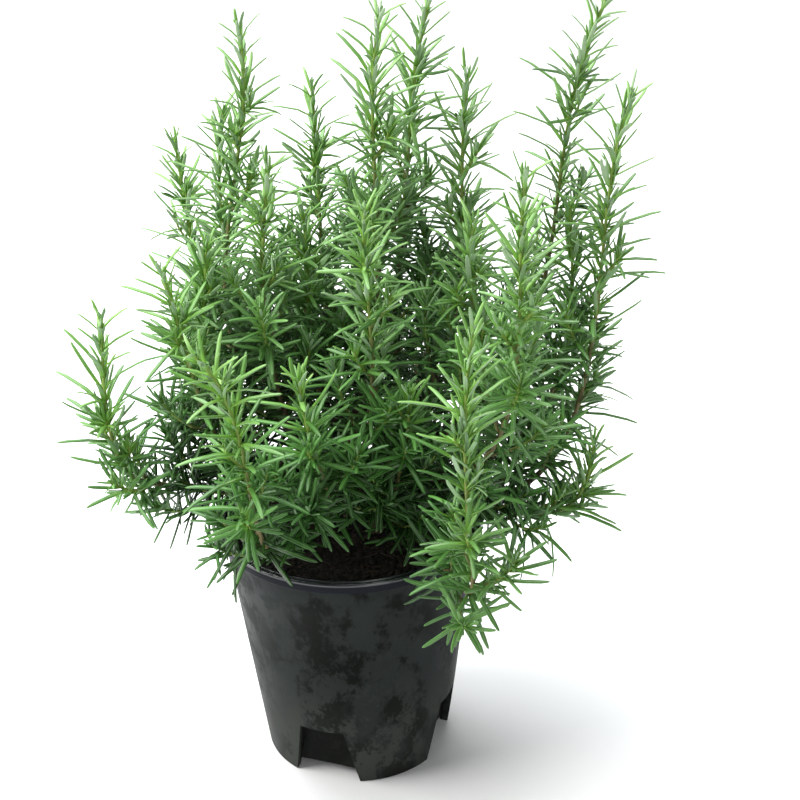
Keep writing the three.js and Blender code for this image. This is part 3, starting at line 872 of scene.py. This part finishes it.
def pot_profile():
    """Half of a section through the pot, from the middle of its foot round to its inner floor."""
    floor = POT_WALL
    raised = FLOOR_RISE + POT_WALL
    skirt = FOOT_RADIUS - POT_WALL
    outside = [(0, 0), (PAD_RADIUS, 0), (PAD_RADIUS + PAD_SLOPE, FLOOR_RISE), (skirt, FLOOR_RISE)]
    outside += [(skirt, 0.5 * MM), (skirt + 0.4 * MM, 0)]
    outside += arc((FOOT_RADIUS - 0.6 * MM, 0.6 * MM), 0.6 * MM, -90, 0, 4)
    wall = [(wall_radius(z), z) for z in (40 * MM, 80 * MM, SHOULDER_HEIGHT)]
    wall.append((wall_radius(SHOULDER_HEIGHT) + SHOULDER_STEP, SHOULDER_HEIGHT + 0.8 * MM))
    inside = [(wall_radius(z) - POT_WALL, z) for z in (120 * MM, 60 * MM, raised)]
    pad = PAD_RADIUS - POT_WALL
    bottom = [(pad + PAD_SLOPE, raised), (pad, floor), (0, floor)]
    return outside + wall + rim_profile() + inside + bottom


def wedge_mesh(turn, grow_by, inner_radius, top):
    """The shape of a drainage notch, widening downwards and reaching out past the wall."""
    below = -5 * MM
    taper = (NOTCH_HALF_BASE - NOTCH_HALF_TOP) / NOTCH_TOP
    corners = []
    for height in (below, top):
        half = NOTCH_HALF_BASE - taper * height + grow_by
        level = height + (grow_by if height == top else 0)
        for reach in (inner_radius - grow_by, RIM_RADIUS):
            corners += [(-half, -reach, level), (half, -reach, level)]
    shape = bmesh.new()
    verts = [shape.verts.new(corner) for corner in corners]
    ends = ((0, 1, 3, 2), (4, 6, 7, 5))
    walls = ((0, 4, 5, 1), (2, 3, 7, 6), (0, 2, 6, 4), (1, 5, 7, 3))
    for face in ends + walls:
        shape.faces.new([verts[i] for i in face])
    shape.transform(Matrix.Rotation(turn, 4, "Z"))
    return finished(shape, "wedge")


def drain_mesh(turn):
    """The round bar that cuts a drain hole, half way between two notches."""
    profile = [(0, -1 * MM), (DRAIN_RADIUS, -1 * MM), (DRAIN_RADIUS, 12 * MM), (0, 12 * MM)]
    mesh = turned_mesh("drain", profile, 24)
    spot = Matrix.Rotation(turn + math.pi / 4, 4, "Z") @ Matrix.Translation((0, -DRAIN_CIRCLE, 0))
    mesh.transform(spot)
    return mesh


def carve(mesh, cutter, operation="DIFFERENCE"):
    """One boolean between two closed meshes."""
    target = new_object("target", mesh)
    tool = new_object("tool", cutter)
    modifier = target.modifiers.new("carve", "BOOLEAN")
    modifier.operation = operation
    modifier.solver = "MANIFOLD"
    modifier.object = tool
    graph = bpy.context.evaluated_depsgraph_get()
    result = bpy.data.meshes.new_from_object(target.evaluated_get(graph), depsgraph=graph)
    bpy.data.objects.remove(target)
    bpy.data.objects.remove(tool)
    return result


def notch_box(turn):
    """The moulded box behind a notch: its wall all round, open at the front and below."""
    mesh = wedge_mesh(turn, POT_WALL, NOTCH_DEPTH_RADIUS, NOTCH_TOP)
    inside_wall = [(0, 0), (wall_radius(0) - BOX_SETBACK, 0)]
    inside_wall += [(wall_radius(BOX_LIMIT) - BOX_SETBACK, BOX_LIMIT), (0, BOX_LIMIT)]
    return carve(mesh, turned_mesh("limit", inside_wall, POT_SIDES), "INTERSECT")


def soften(mesh, angle):
    """Smooth shading, broken where two faces meet at more than an angle."""
    mesh.shade_smooth()
    mesh.set_sharp_from_angle(angle=math.radians(angle))
    return mesh


def build_pot():
    """The moulded shell, with its notches, the boxes behind them and the drain holes."""
    mesh = turned_mesh("pot_shell", pot_profile(), POT_SIDES)
    for turn in NOTCH_TURNS:
        mesh = carve(mesh, notch_box(turn), "UNION")
    for turn in NOTCH_TURNS:
        mesh = carve(mesh, wedge_mesh(turn, 0, NOTCH_DEPTH_RADIUS, NOTCH_TOP))
        mesh = carve(mesh, wedge_mesh(turn, 0, NOTCH_DEPTH_RADIUS - 3 * POT_WALL, FLOOR_RISE))
        mesh = carve(mesh, drain_mesh(turn))
    return soften(mesh, 32)


# ---- Soil ---------------------------------------------------------------------------------


def soil_height(x, y):
    """Slight mounds, higher round the trunks."""
    spread = 22 * MM
    mound = 2.2 * MM * math.exp(-(x * x + (y - 5 * MM) ** 2) / (2 * spread**2))
    swell = 1.3 * MM * math.sin(x / (11 * MM) + 0.6) * math.cos(y / (13 * MM))
    crumb = 0.5 * MM * math.sin(x / (3.1 * MM)) * math.sin(y / (2.7 * MM) + x / (6 * MM))
    return SOIL_TOP - 0.8 * MM + mound + swell + crumb


def build_soil():
    """The block of compost, with its top pressed into lumps."""
    floor = FLOOR_RISE + POT_WALL + SOIL_GAP
    low = 30 * MM
    edge = wall_radius(SOIL_TOP) - POT_WALL - SOIL_GAP
    levels = [(0, floor), (FOOT_RADIUS - 8 * MM, floor)]
    levels += [(wall_radius(low) - POT_WALL - SOIL_GAP, low), (edge, SOIL_TOP - 3 * MM)]
    rings = 40  # over the top
    levels += [(edge * (1 - i / rings), SOIL_TOP) for i in range(rings)] + [(0, SOIL_TOP)]
    mesh = turned_mesh("soil_block", levels, 120)
    for vert in mesh.vertices:
        if vert.co.z > SOIL_TOP - 1 * MM:
            vert.co.z = soil_height(vert.co.x, vert.co.y)
    for turn in NOTCH_TURNS:
        mesh = carve(mesh, wedge_mesh(turn, POT_WALL + SOIL_GAP, NOTCH_DEPTH_RADIUS, NOTCH_TOP))
    return soften(mesh, 40)


def chip_shape():
    """A flat splinter of bark with uneven corners, one unit long."""
    draw = random.Random(SPLINTER_SEED)
    shape = bmesh.new()
    bmesh.ops.create_cube(shape, size=1)
    for vert in shape.verts:
        vert.co.x *= 1.0 + draw.uniform(-0.25, 0.15)
        vert.co.y *= 0.5 + draw.uniform(-0.15, 0.15)
        vert.co.z *= 0.22 + draw.uniform(-0.08, 0.08)
    bmesh.ops.bevel(shape, geom=list(shape.edges), offset=0.06, segments=1, affect="EDGES")
    return finished(shape, "chip", outwards=False)


def fibre_shape():
    """A thin bent strand, one unit long."""
    shape = bmesh.new()
    rings = []
    for i in range(7):
        share = i / 6
        x = share - 0.5
        bow = 0.16 * math.sin(share * 3.2) - 0.06 * math.sin(share * 9)
        lift = 0.05 * math.sin(share * 5)
        thick = 0.022 * math.sin(0.35 + 2.4 * share)
        ring = []
        for corner in range(4):
            a = math.tau * corner / 4
            ring.append(shape.verts.new((x, bow + thick * math.cos(a), lift + thick * math.sin(a))))
        rings.append(ring)
    for lower, upper in zip(rings, rings[1:]):
        bridge(shape, lower, upper)
    shape.faces.new(rings[0][::-1])
    shape.faces.new(rings[-1])
    return finished(shape, "fibre")


def soil_top_only(margin):
    """The lumpy top of the soil as an open sheet, to scatter pieces on, clear of the wall."""
    sheet = bmesh.new()
    bmesh.ops.create_circle(sheet, cap_ends=True, radius=SOIL_RADIUS - margin, segments=48)
    bmesh.ops.subdivide_edges(sheet, edges=list(sheet.edges), cuts=1)
    bmesh.ops.triangulate(sheet, faces=list(sheet.faces))
    for _ in range(4):
        bmesh.ops.subdivide_edges(sheet, edges=list(sheet.edges), cuts=1, use_grid_fill=True)
    for vert in sheet.verts:
        vert.co.z = soil_height(vert.co.x, vert.co.y) + 0.2 * MM
    return finished(sheet, "soil_top", outwards=False)


# ---- Leaves and stems ---------------------------------------------------------------------

# Half of a leaf's width along its length, as (share of length, share of full half width)
LEAF_OUTLINE = [(0.0, 0.40), (0.13, 0.82), (0.45, 1.0), (0.82, 0.90), (0.96, 0.55)]

# Across a leaf: rolled edges and a groove above, felt with a raised midrib below
LEAF_SECTION = [
    (-1.0, -0.16), (-0.70, 0.26), (0.0, 0.08), (0.70, 0.26),
    (1.0, -0.16), (0.72, -0.46), (0.0, -0.26), (-0.72, -0.46),
]
UPPER_SIDES = 4  # the first sides of the section face up


def leaf_shape():
    """One leaf, one unit long and one unit to each edge, growing along +Z with its top to +Y."""
    shape = bmesh.new()
    upper = shape.faces.layers.float.new("upper")
    across = shape.verts.layers.float.new("across")
    along = shape.verts.layers.float.new("along")
    rings = []
    for share, width in LEAF_OUTLINE:
        ring = []
        for x, y in LEAF_SECTION:
            vert = shape.verts.new((x * width, y * (0.4 + 0.6 * width), share))
            vert[across] = x
            vert[along] = share
            ring.append(vert)
        rings.append(ring)
    sides = len(LEAF_SECTION)
    for lower, higher in zip(rings, rings[1:]):
        for i, face in enumerate(bridge(shape, lower, higher)):
            face[upper] = 1.0 if i < UPPER_SIDES else 0.0
    tip = shape.verts.new((0, -0.04, 1))
    tip[along] = 1.0
    for i in range(sides):
        face = shape.faces.new((rings[-1][i], rings[-1][(i + 1) % sides], tip))
        face[upper] = 1.0 if i < UPPER_SIDES else 0.0
    shape.faces.new(rings[0][::-1])
    return finished(shape, "leaf")


def millimetres(place):
    """A place given in millimetres, in metres."""
    return Vector(place) * MM


def shoot_points(trunk, share, low, high, tip):
    """The four points of a shoot's curve, the first one on its trunk."""
    foot, top = TRUNKS[trunk]
    root = millimetres(foot).lerp(millimetres(top), share)
    return [root, millimetres(low), millimetres(high), millimetres(tip)]


def on_curve(points, share):
    """Place and direction at a share of a curve's parameter."""
    a, b, c, d = points
    rest = 1 - share
    place = a * rest**3 + b * 3 * rest**2 * share + c * 3 * rest * share**2 + d * share**3
    slope = (b - a) * 3 * rest**2 + (c - b) * 6 * rest * share + (d - c) * 3 * share**2
    return place, slope.normalized()


def curve_length(points):
    """Measured over 40 straight steps."""
    places = [on_curve(points, i / 40)[0] for i in range(41)]
    return sum((b - a).length for a, b in zip(places, places[1:]))


def along_curve(tree, points, **values):
    """Runs the stem tree or the leaf tree on the curve with these four points."""
    ends = {label: list(place) for label, place in zip(("Root", "Low", "High", "Tip"), points)}
    return grow(tree, bpy.data.meshes.new("start"), **ends, **values)


def clear_of_pot(points):
    """True when a curve keeps out of the rim, the wall and the soil."""
    for i in range(13):
        place = on_curve(points, i / 12)[0]
        radius = math.hypot(place.x, place.y)
        over_soil = place.z > SOIL_TOP + SOIL_MOUND + SPRIG_GAP
        beside = radius > RIM_RADIUS + SPRIG_GAP and place.z > POT_HEIGHT - HANGING
        above = place.z > POT_HEIGHT + SPRIG_GAP
        inside = radius < RIM_RADIUS - RIM_WIDTH - SPRIG_GAP
        if not (beside or above or (inside and over_soil)):
            return False
    return True


def sprig_points(place, direction, turn, length):
    """A short curve that leaves a shoot sideways and turns up."""
    outward = Matrix.Rotation(turn, 3, direction) @ direction.orthogonal().normalized()
    rise = Vector((0, 0, 1))
    start = (outward * 0.9 + direction * 0.7 + rise * 0.1).normalized()
    end = (outward * 0.35 + direction * 0.7 + rise * 0.8).normalized()
    low = place + start * length * 0.4
    high = low + (start + end).normalized() * length * 0.3
    return [place, low, high, high + end * length * 0.35]


def sprigs_of(points, draw):
    """Side shoots, shorter towards the tip, each turned until it is clear of the pot."""
    sprigs = []
    turn = draw.uniform(0, math.tau)
    for share, reach in SPRIGS:
        turn += 2.4
        place, direction = on_curve(points, share + draw.uniform(-0.04, 0.04))
        length = reach * MM * draw.uniform(0.7, 1.15)
        if draw.random() < 0.1:
            continue
        for extra in (0.0, 0.8, -0.8, 1.6, -1.6, 2.4, -2.4):
            sprig = sprig_points(place, direction, turn + extra, length)
            if clear_of_pot(sprig):
                sprigs.append((share, sprig))
                break
    return sprigs


def build_shoot(points, seed, leaf_object):
    """The stem mesh and the leaf mesh of one shoot, with its sprigs."""
    draw = random.Random(seed)
    length = curve_length(points)
    stem = along_curve(
        STEM_TREE, points, Nodes=length / LEAF_SPACING, Base_Radius=STEM_BASE_RADIUS,
        Tip_Radius=STEM_TIP_RADIUS, Knobbly=0.14, Young=0.0, Steps=int(length / STEM_STEP),
        Sides=8, Material=SHOOT_BARK,
    )
    foliage = along_curve(
        LEAF_TREE, points, Nodes=int(length * LEAFY_SHARE / LEAF_SPACING),
        Bare_Share=BARE_LENGTH / length, Leaf_Length=LEAF_LENGTH,
        Leaf_Half_Width=LEAF_HALF_WIDTH, Stem_Base_Radius=STEM_BASE_RADIUS,
        Stem_Tip_Radius=STEM_TIP_RADIUS, Young=0.0, Tip_Age=1.0, Lift=0.12, Seed=seed,
        Leaf=leaf_object, Material=LEAF,
    )
    stems = [stem]
    leaves = [foliage]
    for number, (share, sprig) in enumerate(sprigs_of(points, draw)):
        short = curve_length(sprig)
        stem = along_curve(
            STEM_TREE, sprig, Nodes=short / LEAF_SPACING, Base_Radius=SPRIG_BASE_RADIUS,
            Tip_Radius=SPRIG_TIP_RADIUS, Knobbly=0.12, Young=max(0.5, share), Steps=10, Sides=6,
            Material=SHOOT_BARK,
        )
        foliage = along_curve(
            LEAF_TREE, sprig, Nodes=max(3, int(short / SPRIG_LEAF_SPACING)), Bare_Share=0.12,
            Leaf_Length=SPRIG_LEAF_LENGTH, Leaf_Half_Width=SPRIG_LEAF_HALF_WIDTH,
            Stem_Base_Radius=SPRIG_BASE_RADIUS, Stem_Tip_Radius=SPRIG_TIP_RADIUS,
            Young=share * 0.8, Tip_Age=0.5 + 0.5 * share, Lift=0.15, Seed=seed * 31 + number,
            Leaf=leaf_object, Material=LEAF,
        )
        stems.append(stem)
        leaves.append(foliage)
    return joined(stems), joined(leaves)


def build_trunk(name, seed):
    """A woody cutting, crooked by a few millimetres, with its foot in the soil."""
    foot, top = (millimetres(end) for end in TRUNKS[name])
    upward = (top - foot).normalized()
    buried = foot - upward * BURIED
    draw = random.Random(seed)
    lean = Vector((draw.uniform(-1, 1), draw.uniform(-1, 1), 0)) * 3 * MM
    points = [buried, foot + lean, foot.lerp(top, 0.6) - lean * 0.5, top + upward * 2 * MM]
    return along_curve(
        STEM_TREE, points, Nodes=4.5, Base_Radius=TRUNK_BASE_RADIUS,
        Tip_Radius=TRUNK_TIP_RADIUS * 0.8, Knobbly=0.22, Young=0.0, Steps=60, Sides=20,
        Material=TRUNK_BARK,
    )


# ---- Pieces -------------------------------------------------------------------------------


def piece(name, mesh, slot, *nodes):
    """A finished mesh as one piece of the plant, in place of the nodes that it stands for."""
    made = new_object(name, mesh)
    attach(made, "root")
    if nodes:
        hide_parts(*nodes)
    return made


def dressed(mesh, material):
    """A mesh in one material."""
    mesh.materials.clear()
    mesh.materials.append(material)
    return mesh


piece("nursery_pot", dressed(build_pot(), POT_PLASTIC), "pot_plastic", "pot")
piece("compost", dressed(build_soil(), SOIL_CRUMB), "potting_soil", "soil")

chip_object = new_object("chip_pattern", chip_shape())
fibre_object = new_object("fibre_pattern", fibre_shape())
chips = grow(
    SCATTER_TREE, soil_top_only(4 * MM), Density=90000.0, Smallest=1.5 * MM,
    Largest=6.5 * MM, Tilt=0.5, Seed=CHIP_SEED, Piece=chip_object, Material=CHIP,
)
piece("bark_chips", chips, "potting_soil")
fibres = grow(
    SCATTER_TREE, soil_top_only(13 * MM), Density=16000.0, Smallest=8 * MM,
    Largest=26 * MM, Tilt=0.12, Seed=FIBRE_SEED, Piece=fibre_object, Material=FIBRE,
)
piece("compost_fibres", fibres, "potting_soil")
bpy.data.objects.remove(chip_object)
bpy.data.objects.remove(fibre_object)

for number, name in enumerate(TRUNKS):
    trunk = build_trunk(name, TRUNK_SEED + number)
    piece(f"woody_{name}_trunk", trunk, "bark", f"trunk_{name}")

leaf_object = new_object("leaf_pattern", leaf_shape())
for number, (name, shoot) in enumerate(SHOOTS.items()):
    points = shoot_points(*shoot)
    stem_mesh, leaf_mesh = build_shoot(points, SHOOT_SEED + number, leaf_object)
    piece(f"{name}_stem", stem_mesh, "stem", f"stem_{name}")
    piece(f"{name}_foliage", leaf_mesh, "leaf", f"leaves_{name}")
bpy.data.objects.remove(leaf_object)

# ---- Stage --------------------------------------------------------------------------------

FLOOR_HALF_WIDTH = 4.0
FLOOR_FRONT = -3.0
FLOOR_BACK = 2.2
COVE_RADIUS = 1.2
BACKDROP_TOP = 4.5


def build_stage():
    """A pale floor that curves up into a backdrop."""
    shape = bmesh.new()
    profile = [(FLOOR_FRONT, 0.0), (FLOOR_BACK, 0.0)]
    profile += arc((FLOOR_BACK, COVE_RADIUS), COVE_RADIUS, -81, 0, 9)
    profile += [(FLOOR_BACK + COVE_RADIUS, BACKDROP_TOP)]
    edges = (-FLOOR_HALF_WIDTH, FLOOR_HALF_WIDTH)
    rows = [[shape.verts.new((x, y, z)) for x in edges] for y, z in profile]
    for lower, upper in zip(rows, rows[1:]):
        shape.faces.new((lower[0], lower[1], upper[1], upper[0]))
    mesh = finished(shape, "stage", outwards=False)
    mesh.shade_smooth()
    mesh.materials.append(stage_white())
    new_object("stage", mesh)


def area_light(name, place, aim, size, power, colour):
    """A round soft light that faces a point."""
    light = bpy.data.lights.new(name, "AREA")
    light.shape = "DISK"
    light.size = size
    light.energy = power
    light.color = colour
    made = bpy.data.objects.new(name, light)
    made.location = place
    made.rotation_euler = (Vector(aim) - Vector(place)).to_track_quat("-Z", "Y").to_euler()
    bpy.context.scene.collection.objects.link(made)


def build_lights():
    """A window on the left, light from above, a weak fill in front and a dim room round them."""
    middle = (0, 0, 0.22)
    area_light("window", (-1.4, -0.2, 1.1), middle, 1.1, 34, (1.0, 0.99, 0.97))
    area_light("sky", (-0.3, 0.6, 1.8), middle, 2.2, 84, (0.97, 0.99, 1.0))
    area_light("front_fill", (0.9, -1.7, 0.8), middle, 1.4, 9, (1.0, 1.0, 1.0))
    world = bpy.data.worlds.new("studio")
    world.use_nodes = True
    tree = world.node_tree
    background = tree.nodes["Background"]
    background.inputs["Color"].default_value = (0.95, 0.97, 1.0, 1)
    seen = add(tree, "ShaderNodeLightPath").outputs["Is Camera Ray"]
    tree.links.new(blend_number(tree, seen, 0.24, 0.92), background.inputs["Strength"])
    bpy.context.scene.world = world


CAMERA_FALL = 27.0  # degrees that the camera looks down
CAMERA_ROLL = -1.5  # degrees
CAMERA_DISTANCE = 1.0
CAMERA_VIEW = 25.7  # degrees across the picture
AIM_RIGHT = 28.5 * MM
AIM_UP = 63.9 * MM


def build_camera():
    """Looks down on the plant from the front, with the rim below the middle of the view."""
    fall = math.radians(CAMERA_FALL)
    forward = Vector((0, math.cos(fall), -math.sin(fall)))
    level_up = Vector((0, math.sin(fall), math.cos(fall)))
    rolled = Matrix.Rotation(math.radians(CAMERA_ROLL), 3, -forward)
    right = rolled @ Vector((1, 0, 0))
    up = rolled @ level_up
    rim_centre = Vector((0, 0, POT_HEIGHT))
    aim = rim_centre + right * AIM_RIGHT + up * AIM_UP
    data = bpy.data.cameras.new("camera")
    data.angle = math.radians(CAMERA_VIEW)
    camera = bpy.data.objects.new("camera", data)
    turn = Matrix((right, up, -forward)).transposed().to_4x4()
    camera.matrix_world = Matrix.Translation(aim - forward * CAMERA_DISTANCE) @ turn
    bpy.context.scene.collection.objects.link(camera)
    bpy.context.scene.camera = camera


build_stage()
build_lights()
build_camera()
bpy.context.scene.view_settings.view_transform = "Standard"
